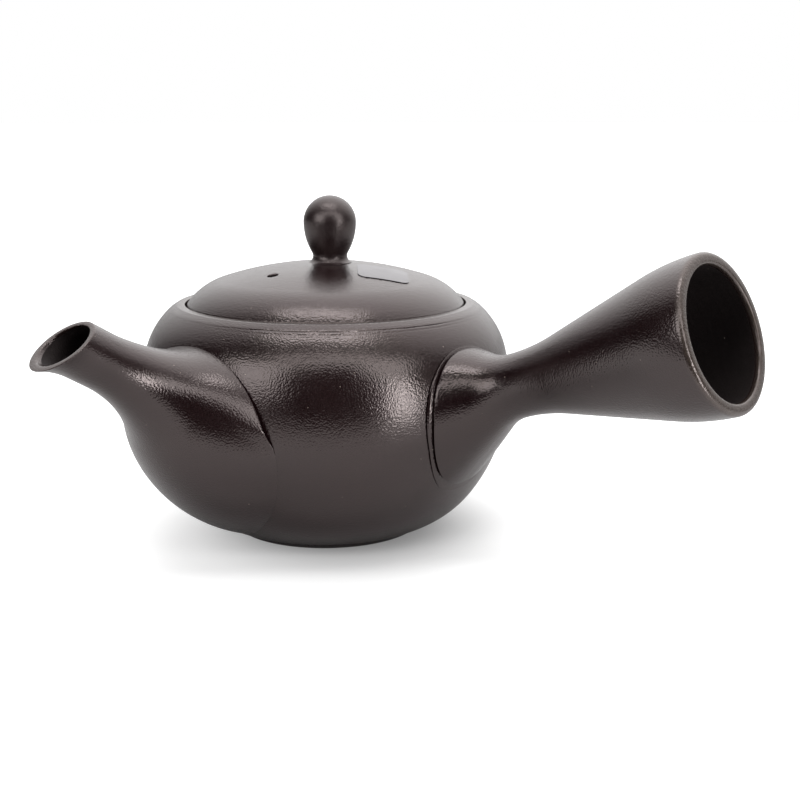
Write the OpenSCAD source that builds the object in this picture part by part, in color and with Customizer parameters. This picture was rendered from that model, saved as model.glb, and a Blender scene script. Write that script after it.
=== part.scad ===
// Side-handle Japanese teapot in burnished clay, in millimetres.
// The origin is the centre of the foot, on the table. +Z is up and the handle points along +X.
// Outlines are chains of arcs drawn in a half section: x is the radius, y runs along the axis of turning.

/* [Bowl] */
// Radius of the bowl at its widest
body_r = 52.5; // [50:0.5:56]
// Height of the widest part above the table
belly_z = 41.2; // [38:0.2:44]
// Height of the rim's outer edge above the table
rim_z = 64.2; // [62:0.2:68]
// Radius of the foot's upper edge
foot_r = 27.9; // [25:0.1:30]
// Height of the bevel round the foot
foot_h = 1.5; // [1:0.1:2.2]
// How far the bevel runs in under the foot
foot_bevel = 1.6; // [0.8:0.1:2.4]
// Slope of the wall where it leaves the foot, in degrees
foot_slope = 17; // [12:1:22]
// Slope of the shoulder where it meets the rim, in degrees
shoulder_slope = 40; // [32:1:46]
// Share of the belly's arc to the foot's arc in the lower wall
low_arc_ratio = 1.72; // [1:0.01:2.4]
// Share of the rim's arc to the belly's arc in the shoulder
shoulder_arc_ratio = 1.41; // [0.9:0.01:2]
// Thickness of the bowl's wall
body_wall = 3.5; // [2.8:0.1:4.2]
// Thickness of the bowl's floor
floor_t = 4.5; // [3.5:0.1:6]
// Width of the sloped band round the rim
rim_w = 3.9; // [3:0.1:4.8]
// Rise of the rim's band from its outer to its inner edge
rim_rise = 1; // [0.6:0.1:1.6]
// Depth of the seat that the lid stands on, below the rim's inner edge
seat_drop = 2.6; // [2:0.1:3.4]
// Width of the seat
seat_w = 3.6; // [2.8:0.1:4.4]
// Thickness of the seat
seat_t = 3.2; // [2.4:0.1:4]

/* [Lid] */
// Radius of the lid
lid_r = 39.4; // [37:0.1:41]
// Gap between the lid's edge and the rim
lid_gap = 0.45; // [0.3:0.05:0.8]
// Height of the lid's edge above the rim's inner edge
lid_proud = 0.2; // [0:0.1:0.8]
// Rise of the dome from the lid's edge to its crown
lid_rise = 11.2; // [9:0.1:13]
// Slope of the dome at the lid's edge, in degrees
lid_edge_slope = 55; // [48:1:62]
// Share of the crown's arc to the edge's arc in the dome
dome_arc_ratio = 2.5; // [1.8:0.1:3.2]
// Thickness of the lid
lid_wall = 3; // [2.4:0.1:3.6]
// Depth of the ring under the lid that keeps it in the mouth
flange_h = 6; // [4:0.5:9]
// Thickness of that ring
flange_t = 2.8; // [2.2:0.1:3.4]
// Play between that ring and the mouth
flange_play = 0.5; // [0.3:0.1:1]
// Diameter of the steam vent
vent_d = 3; // [2:0.1:4]
// Distance of the vent from the lid's centre
vent_at = 20.2; // [16:0.2:24]

/* [Knob] */
// Radius of the knob's ball
knob_r = 7.4; // [6.5:0.1:8.5]
// Height of the ball's centre above the lid's crown
knob_lift = 11.2; // [10:0.1:12.5]
// Radius of the arc that draws the ball in to its neck
knob_pear_arc = 17; // [15:0.5:20]
// Radius of the fillet at the knob's foot
knob_fillet = 2; // [1.5:0.1:2.6]
// How far the fillet is sunk below the lid's crown
knob_sink = 0.3; // [0.2:0.05:0.5]
// Width that is left off the thin outer edge of the fillet
knob_edge = 0.8; // [0.5:0.1:1.1]
// How far the knob, set by hand, stands off the lid's centre
knob_off = 1.3; // [0:0.1:2]
// Direction in which it stands off, from the handle's side, in degrees
knob_off_turn = 41.4; // [0:0.2:360]

/* [Label] */
// Width of the blank film label on the lid
label_w = 14; // [10:0.5:16]
// Length of the label
label_l = 14.5; // [10:0.5:16]
// Radius of the label's corners
label_corner = 2.5; // [1:0.1:4]
// Thickness of the label
label_t = 0.2; // [0.15:0.05:0.3]
// Distance of the label's middle from the lid's centre
label_at = 19.2; // [18:0.2:21]
// Direction of the label from the lid's centre, from the handle's side, in degrees
label_turn = 6.4; // [0:0.2:20]
// Turn of the label's edges, in degrees
label_spin = 41.4; // [30:0.2:50]

/* [Spout] */
// Angle from the handle round to the spout, clockwise from above, in degrees
spout_turn = 94.4; // [85:0.2:105]
// Tilt of the spout above level, in degrees
spout_tilt = 29.9; // [27:0.1:33]
// Height at which the spout's axis crosses the bowl's axis
spout_z = 13.9; // [12:0.1:16]
// Length of the spout from the bowl's wall to the middle of the lip
spout_len = 40.3; // [36:0.1:46]
// Lean of the lip's cut, in degrees
lip_lean = 27.5; // [15:0.5:35]
// Radius of the spout's bell-shaped root
bell_r = 27.1; // [25:0.1:28]
// Depth of the bell's widest place inside the bowl's wall
bell_depth = 24.9; // [22:0.1:27]
// Radius of the arc along the bell
bell_arc = 47.8; // [44:0.2:52]
// Radius of the arc from the bell into the tube
throat_arc = 37.5; // [33:0.5:40]
// Outer radius of the tube
tube_r = 7.35; // [6.5:0.05:8.2]
// Radius of the arc that flares the lip
flare_arc = 23; // [20:0.5:40]
// Length of the flare, measured on the axis
flare_len = 4.4; // [3:0.1:5]
// Thickness of the spout's wall
spout_wall = 1.8; // [1.5:0.1:2.2]

/* [Strainer] */
// Radius of the round port in the bowl's wall behind the spout
port_r = 13; // [11:0.1:14]
// Height of the port's middle
port_z = 38; // [36:0.5:40]
// Depth of the strainer's rim below the bowl's widest radius
strainer_set = 2.8; // [2.4:0.1:3.4]
// Thickness of the strainer's rim along the port
strainer_rim_t = 2; // [1.6:0.1:2.6]
// Width of the strainer's rim
strainer_rim_w = 2; // [1.6:0.1:2.6]
// Gap for slip between the strainer and its port
slip_gap = 0.15; // [0.1:0.05:0.25]
// How far the pierced dome swells into the bowl
mesh_depth = 4; // [3:0.1:5]
// Thickness of the pierced dome
mesh_t = 1.6; // [1.2:0.1:2]
// Diameter of the dome's holes
mesh_hole_d = 1.5; // [1.2:0.1:1.7]
// Distance between neighbouring holes
mesh_pitch = 2.6; // [2.4:0.1:3.2]

/* [Handle] */
// Tilt of the handle above level, in degrees
handle_tilt = 19; // [16:0.5:22]
// Height at which the handle's axis crosses the bowl's axis
handle_z = 26.4; // [24:0.2:29]
// Length of the handle from the bowl's wall to its mouth
handle_len = 74.7; // [68:0.1:84]
// Distance of the neck, the thinnest place, from the bowl's wall
neck_out = 14.8; // [13:0.1:18]
// Outer radius of the neck
neck_r = 8.55; // [7.6:0.05:9.6]
// Outer radius of the mouth
mouth_r = 19.7; // [18:0.1:21]
// Radius of the arc between the neck and the root
root_arc = 16.5; // [14:0.5:24]
// Spread of the root where it meets the bowl, in degrees
root_angle = 30.3; // [27:0.1:33]
// Radius of the arc where the neck opens into the trumpet
trumpet_arc = 56; // [42:1:60]
// Radius of the arc that closes the trumpet at its mouth
mouth_arc = 60; // [50:1:66]
// Thickness of the handle's wall
handle_wall = 3.1; // [2.6:0.1:3.6]
// How far the handle's root runs on behind the bowl's wall before the bowl trims it
root_depth = 19.5; // [18:0.5:22]

/* [Collar] */
// Height of the ring between the bowl and the handle
collar_h = 1.3; // [1:0.1:2]
// Width of the groove under the ring, and of the one under the handle
groove_w = 0.4; // [0.3:0.05:0.6]
// Depth of both grooves
groove_d = 0.6; // [0.4:0.1:1]

/* [Hidden] */
$fn = 96;
clay = [0.225, 0.18, 0.165];
film = [0.42, 0.41, 0.41];
// Room by which a cutting shape runs past what it cuts
past = 5;
// Turn of an outline between two of its points, in degrees, and the closest that two points may lie
arc_step = 4;
close_by = 0.01;

function along(a) = [cos(a), sin(a)];

// An arc is [centre, radius, first angle, last angle], where the angle is that of the outward normal.
// A hollow arc has a negative radius. Drawing inwards by inset moves every point against its normal.
function arc_points(arc, inset) =
    let (steps = ceil(abs(arc[3] - arc[2]) / arc_step))
    let (turn = (arc[3] - arc[2]) / steps)
    let (angles = concat([for (i = [0:steps - 1]) arc[2] + turn * i], [arc[3]]))
    [for (a = angles) arc[0] + (arc[1] - inset) * along(a)];

function chain(arcs, inset) =
    let (points = [for (arc = arcs) each arc_points(arc, inset)])
    [for (i = [0:len(points) - 1]) if (i == 0 || norm(points[i] - points[i - 1]) > close_by) points[i]];

function backwards(points) = [for (i = [len(points) - 1:-1:0]) points[i]];

// Two tangent arcs from p0, heading a0, to p1, heading a1, with the second arc's share set by ratio
function two_arcs(p0, a0, p1, a1, ratio) =
    let (v = p1 - p0)
    let (bend = 1 - along(a0) * along(a1))
    let (reach = v * along(a0) + ratio * (v * along(a1)))
    let (d0 = (sqrt(reach * reach + 2 * ratio * bend * (v * v)) - reach) / (2 * ratio * bend))
    let (step = p1 - ratio * d0 * along(a1) - p0 - d0 * along(a0))
    let (mid = atan2(step.y, step.x))
    let (r0 = d0 / tan((mid - a0) / 2))
    let (r1 = ratio * d0 / tan((a1 - mid) / 2))
    [
        [p0 + r0 * along(a0 + 90), r0, a0 - 90, mid - 90],
        [p1 + r1 * along(a1 + 90), r1, mid - 90, a1 - 90]
    ];

// The lid's seat, the mouth and the rim follow the lid's radius
gallery_r = lid_r + lid_gap;
rim_r = gallery_r + rim_w;
rim_top = rim_z + rim_rise;
seat_z = rim_top - seat_drop;
mouth_hole_r = gallery_r - seat_w;
bowl_arcs = concat(
    two_arcs([foot_r, foot_h], foot_slope, [body_r, belly_z], 90, low_arc_ratio),
    two_arcs([body_r, belly_z], 90, [rim_r, rim_z], 180 - shoulder_slope, shoulder_arc_ratio)
);

// The lid's edge, crown and ring
lid_edge_z = rim_top + lid_proud;
crown_z = lid_edge_z + lid_rise;
dome_arcs = two_arcs([lid_r, lid_edge_z], 180 - lid_edge_slope, [0, crown_z], 180, dome_arc_ratio);
flange_r = mouth_hole_r - flange_play;

// The knob's ball, the arc under it, and the fillet that touches both that arc and the lid
knob_z = crown_z + knob_lift;
fillet_z = crown_z - knob_sink + knob_fillet;
fillet_reach = knob_pear_arc + knob_fillet;
pear_angle = asin((knob_z - fillet_z) / fillet_reach);
pear_centre = [knob_r - knob_pear_arc, knob_z];
fillet_centre = pear_centre + fillet_reach * along(-pear_angle);
knob_arcs = [
    [fillet_centre, -knob_fillet, acos(knob_edge / knob_fillet), -pear_angle],
    [pear_centre, knob_pear_arc, -pear_angle, 0],
    [[0, knob_z], knob_r, 0, 90]
];

// The spout's bell runs back into the bowl and meets the throat's arc at bell_angle
spout_wall_at = body_r / cos(spout_tilt);
spout_reach = spout_wall_at + spout_len;
bell_at = spout_wall_at - bell_depth;
bell_back = asin(bell_r / bell_arc);
bell_angle = acos(1 - (bell_r - tube_r) / (bell_arc + throat_arc));
tube_start = bell_at + (bell_arc + throat_arc) * sin(bell_angle);
flare_start = spout_reach - flare_len;
flare_angle = asin((flare_len + tube_r) / flare_arc);
spout_arcs = [
    [[bell_r - bell_arc, bell_at], bell_arc, -bell_back, bell_angle],
    [[tube_r + throat_arc, tube_start], -throat_arc, bell_angle, 0],
    [[tube_r + flare_arc, flare_start], -flare_arc, 0, -flare_angle]
];

// The strainer's rim and the sphere of its dome
strainer_r = port_r - slip_gap;
strainer_face = body_r - strainer_set;
mesh_sphere_r = (strainer_r * strainer_r + mesh_depth * mesh_depth) / (2 * mesh_depth);
mesh_field_r = strainer_r - strainer_rim_w - mesh_hole_d / 2;
mesh_rows = floor(mesh_field_r / (mesh_pitch * sin(60)));
mesh_cols = ceil(mesh_field_r / mesh_pitch);

// The trumpet's straight side lies at the one angle that is tangent to both of its arcs
handle_wall_at = body_r / cos(handle_tilt);
handle_reach = handle_wall_at + handle_len;
neck_at = handle_wall_at + neck_out;
root_start = handle_wall_at - root_depth;
lip_r = handle_wall / 2;
trumpet_end = handle_reach - lip_r;
trumpet_len = trumpet_end - neck_at;
trumpet_sum = trumpet_arc + mouth_arc;
trumpet_drop = trumpet_sum - mouth_r + neck_r;
trumpet_angle = atan2(trumpet_len, trumpet_drop) - acos(trumpet_sum / norm([trumpet_len, trumpet_drop]));
handle_arcs = [
    [[neck_r + root_arc, neck_at], -root_arc, root_angle, 0],
    [[neck_r + trumpet_arc, neck_at], -trumpet_arc, 0, -trumpet_angle],
    [[mouth_r - mouth_arc, trumpet_end], mouth_arc, -trumpet_angle, 0]
];

// The handle's outline from its root to its lip, drawn inwards by inset
function handle_line(inset) =
    let (line = chain(handle_arcs, inset))
    concat([[line[0].x + (line[0].y - root_start) * tan(root_angle), root_start]], line);

// The bowl as a filled solid, drawn inwards by inset, which trims what is stuck to it
module bowl_solid(inset) {
    line = chain(bowl_arcs, inset);
    rotate_extrude() polygon(concat([[0, line[0].y]], line, [[0, line[len(line) - 1].y]]));
}

module hollow_area() {
    line = chain(bowl_arcs, body_wall);
    ceiling_z = seat_z - seat_t;
    intersection() {
        polygon(concat([[0, line[0].y]], line, [[0, line[len(line) - 1].y]]));
        translate([0, floor_t]) square([body_r, ceiling_z - floor_t]);
    }
    translate([0, ceiling_z - past]) square([mouth_hole_r, rim_top - ceiling_z + 2 * past]);
    translate([0, seat_z]) square([gallery_r, seat_drop + past]);
}

// Lays a shape that stands on the Z axis along the spout's, the handle's or the port's axis
module on_spout() {
    translate([0, 0, spout_z]) rotate([0, 90 - spout_tilt, -spout_turn]) children();
}

module on_handle() {
    translate([0, 0, handle_z]) rotate([0, 90 - handle_tilt, 0]) children();
}

module on_port() {
    translate([0, 0, port_z]) rotate([0, 90, -spout_turn]) children();
}

module pot_body() {
    outside = concat(
        [[0, 0], [foot_r - foot_bevel, 0]],
        chain(bowl_arcs, 0),
        [[gallery_r, rim_top], [0, rim_top]]
    );
    color(clay)
        difference() {
            rotate_extrude()
                difference() {
                    polygon(outside);
                    hollow_area();
                }
            on_port() translate([0, 0, strainer_face / 2]) cylinder(r = port_r, h = body_r);
        }
}

// The bell is trimmed by the bowl's wall, and kept off the ground under the foot and off the rim
module spout() {
    cut = 2 * spout_reach;
    color(clay)
        difference() {
            on_spout()
                difference() {
                    rotate_extrude()
                        polygon(concat(chain(spout_arcs, 0), backwards(chain(spout_arcs, spout_wall))));
                    translate([0, 0, spout_reach])
                        rotate([0, -lip_lean, 0])
                            translate([-cut / 2, -cut / 2, 0]) cube(cut);
                }
            bowl_solid(0);
            translate([0, 0, -bell_r]) cylinder(r = foot_r, h = bell_r + foot_h);
            translate([0, 0, seat_z]) cylinder(r = rim_r, h = bell_r);
        }
}

module strainer_area() {
    translate([strainer_r - strainer_rim_w, strainer_face - strainer_rim_t])
        square([strainer_rim_w, strainer_rim_t]);
    intersection() {
        translate([0, strainer_face - mesh_depth + mesh_sphere_r])
            difference() {
                circle(r = mesh_sphere_r);
                circle(r = mesh_sphere_r - mesh_t);
            }
        translate([0, strainer_face - 2 * mesh_depth]) square([strainer_r, 2 * mesh_depth]);
    }
}

module spout_strainer() {
    color(clay)
        on_port()
            difference() {
                rotate_extrude() strainer_area();
                for (row = [-mesh_rows:mesh_rows], col = [-mesh_cols:mesh_cols])
                    let (x = (col + (row % 2 == 0 ? 0 : 0.5)) * mesh_pitch, y = row * mesh_pitch * sin(60))
                        if (norm([x, y]) < mesh_field_r)
                            translate([x, y, strainer_face / 2])
                                cylinder(d = mesh_hole_d, h = body_r, $fn = 24);
            }
}

// The handle and the collar under it are cut from one hollow trumpet
module trumpet() {
    lip = arc_points([[mouth_r - lip_r, trumpet_end], lip_r, 0, 180], 0);
    inner_lip = [for (i = [1:len(lip) - 2]) lip[i]];
    on_handle()
        rotate_extrude()
            polygon(concat(handle_line(0), inner_lip, backwards(handle_line(handle_wall))));
}

// A groove round the trumpet's root, up to the given height above the bowl's wall
module root_groove(height) {
    line = handle_line(groove_d);
    intersection() {
        on_handle()
            rotate_extrude()
                polygon([line[0], line[1], line[1] + [past, 0], line[0] + [past, 0]]);
        bowl_solid(-height);
    }
}

module handle() {
    color(clay)
        difference() {
            trumpet();
            bowl_solid(-collar_h);
            root_groove(collar_h + groove_w);
        }
}

module handle_collar() {
    color(clay)
        difference() {
            intersection() {
                trumpet();
                bowl_solid(-collar_h);
            }
            bowl_solid(0);
            root_groove(groove_w);
        }
}

// The dome's half section down to the lid's ring, drawn inwards by inset
module dome_area(inset) {
    line = chain(dome_arcs, inset);
    low_z = seat_z - flange_h - past;
    polygon(concat([[0, low_z], [line[0].x, low_z]], line));
}

module lid() {
    outside = concat(
        [[0, seat_z - flange_h], [flange_r, seat_z - flange_h], [flange_r, seat_z], [lid_r, seat_z]],
        chain(dome_arcs, 0)
    );
    color(clay)
        difference() {
            rotate_extrude()
                difference() {
                    polygon(outside);
                    intersection() {
                        dome_area(lid_wall);
                        square([flange_r - flange_t, crown_z]);
                    }
                }
            rotate([0, 0, -spout_turn])
                translate([vent_at, 0, seat_z]) cylinder(d = vent_d, h = crown_z, $fn = 48);
        }
}

module lid_knob() {
    line = chain(knob_arcs, 0);
    color(clay)
        difference() {
            translate(knob_off * along(knob_off_turn))
                rotate_extrude() polygon(concat([[0, lid_edge_z], [line[0].x, lid_edge_z]], line));
            rotate_extrude() dome_area(0);
        }
}

module label_outline() {
    flat_w = label_w - 2 * label_corner;
    flat_l = label_l - 2 * label_corner;
    square([flat_w, label_l], center = true);
    square([label_w, flat_l], center = true);
    for (x = [-flat_w / 2, flat_w / 2], y = [-flat_l / 2, flat_l / 2])
        translate([x, y]) circle(r = label_corner, $fn = 32);
}

module lid_label() {
    color(film)
        intersection() {
            rotate_extrude()
                difference() {
                    dome_area(-label_t);
                    dome_area(0);
                    square([2 * lid_r, lid_edge_z]);
                }
            rotate([0, 0, label_turn])
                translate([label_at, 0, lid_edge_z])
                    rotate([0, 0, label_spin - label_turn])
                        linear_extrude(height = crown_z) label_outline();
        }
}

pot_body();
spout();
spout_strainer();
handle();
handle_collar();
lid();
lid_knob();
lid_label();
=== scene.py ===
from collections import namedtuple
from math import acos, asin, atan2, ceil, copysign, cos, hypot, pi, radians, sin, sqrt, tan

import bmesh
import bpy
from mathutils import Matrix, Vector
from mathutils.bvhtree import BVHTree


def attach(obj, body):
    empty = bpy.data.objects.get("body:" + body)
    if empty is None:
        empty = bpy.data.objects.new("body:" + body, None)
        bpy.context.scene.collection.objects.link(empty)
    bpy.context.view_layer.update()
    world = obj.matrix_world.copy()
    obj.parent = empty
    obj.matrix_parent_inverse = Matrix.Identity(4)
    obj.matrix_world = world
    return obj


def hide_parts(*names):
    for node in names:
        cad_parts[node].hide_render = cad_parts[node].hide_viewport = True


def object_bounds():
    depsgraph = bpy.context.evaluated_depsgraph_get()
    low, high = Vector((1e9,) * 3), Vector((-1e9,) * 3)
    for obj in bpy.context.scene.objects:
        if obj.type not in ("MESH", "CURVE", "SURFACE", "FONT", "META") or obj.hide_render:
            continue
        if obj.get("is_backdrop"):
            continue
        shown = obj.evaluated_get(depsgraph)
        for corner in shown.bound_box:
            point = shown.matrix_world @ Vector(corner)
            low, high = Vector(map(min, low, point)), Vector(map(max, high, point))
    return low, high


# Dresses the side-handle clay teapot. Sizes are in metres and angles in radians, in the part's own frame:
# the origin is the centre of the foot, +Z is up and the handle points along +X.
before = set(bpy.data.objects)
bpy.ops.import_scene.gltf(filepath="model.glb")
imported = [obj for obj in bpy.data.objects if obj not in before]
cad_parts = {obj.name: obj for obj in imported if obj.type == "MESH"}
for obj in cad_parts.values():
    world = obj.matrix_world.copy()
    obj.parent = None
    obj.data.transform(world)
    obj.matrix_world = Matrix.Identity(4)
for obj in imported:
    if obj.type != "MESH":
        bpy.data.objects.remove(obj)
cad_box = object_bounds()

MM = 0.001

# Bowl
BODY_R = 52.5 * MM
BELLY_Z = 41.2 * MM
RIM_Z = 64.2 * MM
FOOT_R = 27.9 * MM
FOOT_H = 1.5 * MM
FOOT_BEVEL = 1.6 * MM
FOOT_SLOPE = radians(17)
SHOULDER_SLOPE = radians(40)
LOW_ARC_RATIO = 1.72
SHOULDER_ARC_RATIO = 1.41
BODY_WALL = 3.5 * MM
FLOOR_T = 4.5 * MM
RIM_W = 3.9 * MM
RIM_RISE = 1 * MM
# The rim is nearly flat beside the lid, and then falls as the shoulder does
RIM_FLAT_W = 2.3 * MM
RIM_FLAT_RISE = 0.1 * MM
SEAT_DROP = 2.6 * MM
SEAT_W = 3.6 * MM
SEAT_T = 3.2 * MM
RIM_SOFT_IN = 0.25 * MM
RIM_SOFT_OUT = 0.2 * MM
SHOULDER_SOFT = 0.3 * MM
MOUTH_SOFT = 0.6 * MM
FOOT_SOFT = 0.4 * MM
# Lines that the turner left: height, width and depth. They are deepest between the spout and the handle
TURNING_GROOVES = [
    (63.7 * MM, 0.5 * MM, 0.18 * MM),
    (63.0 * MM, 0.4 * MM, 0.09 * MM),
    (62.3 * MM, 0.4 * MM, 0.02 * MM),
    (36.0 * MM, 0.3 * MM, 0.008 * MM),
]
GROOVE_DEEPEST_AT = radians(-35)
GROOVE_FADE = 10
# Their depth swings about this share of it as two waves of so many turns beat
GROOVE_SHARE = 0.65
GROOVE_SWING = 0.35
GROOVE_WAVES = (11, 17)

# Lid
LID_R = 39.4 * MM
LID_GAP = 0.45 * MM
LID_PROUD = -0.25 * MM
LID_RISE = 11.65 * MM
LID_EDGE_SLOPE = radians(55)
DOME_ARC_RATIO = 2.5
LID_WALL = 3 * MM
FLANGE_H = 6 * MM
FLANGE_T = 2.8 * MM
FLANGE_PLAY = 0.5 * MM
VENT_R = 1.5 * MM
VENT_AT = 20.2 * MM
LID_EDGE_SOFT = 0.5 * MM
FLANGE_SOFT = 0.7 * MM
VENT_SOFT = 0.25 * MM

# Knob
KNOB_R = 7.4 * MM
KNOB_LIFT = 11.2 * MM
KNOB_PEAR_ARC = 17 * MM
KNOB_FILLET = 2 * MM
KNOB_SINK = 0.3 * MM
KNOB_EDGE = 0.8 * MM
KNOB_OFF = 1.3 * MM
KNOB_OFF_TURN = radians(41.4)

# Label
LABEL_W = 14 * MM
LABEL_L = 14.5 * MM
LABEL_CORNER = 2.5 * MM
LABEL_T = 0.2 * MM
LABEL_AT = 19.2 * MM
LABEL_TURN = radians(6.4)
LABEL_SPIN = radians(41.4)

# Spout
SPOUT_TURN = radians(-94.4)
SPOUT_TILT = radians(29.9)
SPOUT_Z = 13.9 * MM
SPOUT_LEN = 40.3 * MM
LIP_LEAN = radians(27.5)
BELL_R = 27.1 * MM
BELL_DEPTH = 24.9 * MM
BELL_ARC = 47.8 * MM
THROAT_ARC = 37.5 * MM
TUBE_R = 7.35 * MM
FLARE_ARC = 23 * MM
FLARE_LEN = 4.4 * MM
SPOUT_WALL = 1.8 * MM
LIP_WALL = 1.35 * MM
LIP_OUT = 0.35 * MM
LIP_SOFT = 0.3 * MM
LIP_WEAR = 0.35
LIP_WEAR_W = 0.9 * MM
# The bell was pressed down on top and pushed out sideways when it was stuck on, with a dip before the tube
PRESS_FROM = 31.8 * MM
PRESS_TO = 86.3 * MM
BELL_PRESS = 5.7 * MM
BELL_SPREAD = 2.4 * MM
BELL_LIFT = 0.5 * MM
BELL_DIP = 1.3 * MM
SPREAD_POWER = 3.4
# Its edge is smoothed onto the bowl, but stands open over an undercut on the side that faces the handle
EDGE_PROUD = 0.04 * MM
EDGE_UNDERCUT = 0.05 * MM
EDGE_SUNK = 0.8 * MM
EDGE_ROLL = 0.15 * MM
EDGE_ROLL_SHARE = 0.4
EDGE_UNDER_SHARE = 0.6
OPEN_PROUD = 1.3 * MM
OPEN_SPREAD = 1.7 * MM
OPEN_UNDERCUT = 2.4 * MM
OPEN_FROM = radians(79)
OPEN_MOST = radians(86)
OPEN_TO = radians(128)
OPEN_FADE = 1.3
# Shares of the bore's length: the lip's wall thickens over the first, and the bore narrows between the others
LIP_THICKENS_TO = 0.1
BORE_NARROWS_FROM = 0.3
BORE_NARROWS_TO = 0.6

# Port behind the spout
PORT_R = 13 * MM
PORT_Z = 38 * MM
# It is bored from outside, and not as far as the other wall
PORT_START = 2 * BODY_R
PORT_DEPTH = 1.4 * BODY_R

# Handle and its collar
HANDLE_TILT = radians(19)
HANDLE_Z = 26.4 * MM
HANDLE_LEN = 74.7 * MM
NECK_OUT = 14.8 * MM
NECK_R = 8.55 * MM
MOUTH_R = 19.7 * MM
ROOT_ARC = 16.5 * MM
ROOT_ANGLE = radians(30.3)
TRUMPET_ARC = 56 * MM
MOUTH_ARC = 60 * MM
HANDLE_WALL = 3.1 * MM
# The mouth's lip is round outside and crisp inside, and worn by handling
MOUTH_LIP_ROUND = 0.8
MOUTH_LIP_CRISP = 0.45
MOUTH_WEAR = 0.9
MOUTH_WEAR_FROM = -0.2 * MM
MOUTH_WEAR_TO = 1.2 * MM
COLLAR_H = 0.8 * MM
COLLAR_H_THIN = 0.25 * MM
COLLAR_POWER = 3.5
COLLAR_SOFT = 0.1 * MM
COLLAR_GROOVE_W = 0.42 * MM
COLLAR_GROOVE_MOST = 0.8
GROOVE_W = 0.8 * MM
GROOVE_D = 0.8 * MM
GROOVE_SOFT = 0.12 * MM
SUNK = 0.4 * MM
# Shares by which the groove is deeper on top, shallower below, and pinched low on the spout's side
GROOVE_TOP = 0.9
GROOVE_BELOW = 0.45
GROOVE_BELOW_POWER = 30
PINCH_DEEPER = 0.9
PINCH_NARROWER = 0.3
PINCH_AT = radians(-48)
PINCH_POWER = 8
# The root was pressed out sideways, most on the spout's side, a little flat on top and smoothed out below
ROOT_FROM = 49.5 * MM
ROOT_TO = 77 * MM
ROOT_SPREAD = 0.95 * MM
ROOT_PRESS = 0.7 * MM
ROOT_POWER = 2.6
ROOT_LEAN = 1.3 * MM
ROOT_LEAN_AT = radians(-130)
ROOT_FLARE = 0.35 * MM
ROOT_ROUND = 0.4 * MM
ROOT_ROUND_AT = radians(24)
ROOT_LEAN_POWER = 4
ROOT_ROUND_POWER = 12

# Fineness of the meshes
ARC_STEP = radians(1.5)
BOWL_COLUMNS = 160
ARM_COLUMNS = 112
KNOB_COLUMNS = 72
PORT_COLUMNS = 64
VENT_COLUMNS = 40
SPOUT_ROWS = 96
SPOUT_EDGE_ROWS = 6
HANDLE_ROWS = 90
MOUTH_LIP_ROWS = 16
COLLAR_ROWS = 6
COLLAR_TOP_ROW = 3
LABEL_CUTS = 12
LABEL_CORNER_STEPS = 8
SHARP_ANGLE = radians(38)
# Rounds in which a place is closed in on
HALVINGS = 30
LIP_ROUNDS = 8
# Faces this far outside a hole make room for it
PORT_MARGIN = 1.6 * MM
VENT_MARGIN = 0.9 * MM
# How close points are that count as one, near a place, on a face or inside an edge, and angles as the same
SAME = 0.002 * MM
NEAR = 0.02 * MM
ON_FACE = 0.1 * MM
INSIDE_BY = 0.1 * MM
SAME_ANGLE = 1e-9

Arc = namedtuple("Arc", "centre radius first last")


def heading(angle):
    return Vector((cos(angle), sin(angle)))


def two_arcs(p0, a0, p1, a1, ratio):
    """Two tangent arcs from p0, heading a0, to p1, heading a1, with the second arc's share set by ratio.
    An arc's angles are those of its outward normal, and a hollow arc has a negative radius."""
    v, t0, t1 = p1 - p0, heading(a0), heading(a1)
    bend = 1 - t0.dot(t1)
    reach = v.dot(t0) + ratio * v.dot(t1)
    d0 = (sqrt(reach ** 2 + 2 * ratio * bend * v.length_squared) - reach) / (2 * ratio * bend)
    step = p1 - ratio * d0 * t1 - p0 - d0 * t0
    mid = atan2(step.y, step.x)
    r0 = d0 / tan((mid - a0) / 2)
    r1 = ratio * d0 / tan((a1 - mid) / 2)
    left = pi / 2
    return [
        Arc(p0 + r0 * heading(a0 + left), r0, a0 - left, mid - left),
        Arc(p1 + r1 * heading(a1 + left), r1, mid - left, a1 - left),
    ]


# The rim, the lid's seat and the mouth follow the lid's radius
GALLERY_R = LID_R + LID_GAP
RIM_R = GALLERY_R + RIM_W
RIM_TOP = RIM_Z + RIM_RISE
RIM_FLAT_IN = (GALLERY_R, RIM_TOP + RIM_FLAT_RISE)
RIM_FLAT_OUT = (GALLERY_R + RIM_FLAT_W, RIM_TOP)
SEAT_Z = RIM_TOP - SEAT_DROP
CEILING_Z = SEAT_Z - SEAT_T
MOUTH_HOLE_R = GALLERY_R - SEAT_W
BELLY = Vector((BODY_R, BELLY_Z))
BOWL_ARCS = (
    two_arcs(Vector((FOOT_R, FOOT_H)), FOOT_SLOPE, BELLY, pi / 2, LOW_ARC_RATIO)
    + two_arcs(BELLY, pi / 2, Vector((RIM_R, RIM_Z)), pi - SHOULDER_SLOPE, SHOULDER_ARC_RATIO)
)

LID_EDGE_Z = RIM_TOP + LID_PROUD
CROWN_Z = LID_EDGE_Z + LID_RISE
FLANGE_R = MOUTH_HOLE_R - FLANGE_PLAY
FLANGE_Z = SEAT_Z - FLANGE_H
DOME_ARCS = two_arcs(
    Vector((LID_R, LID_EDGE_Z)), pi - LID_EDGE_SLOPE, Vector((0, CROWN_Z)), pi, DOME_ARC_RATIO
)

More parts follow.
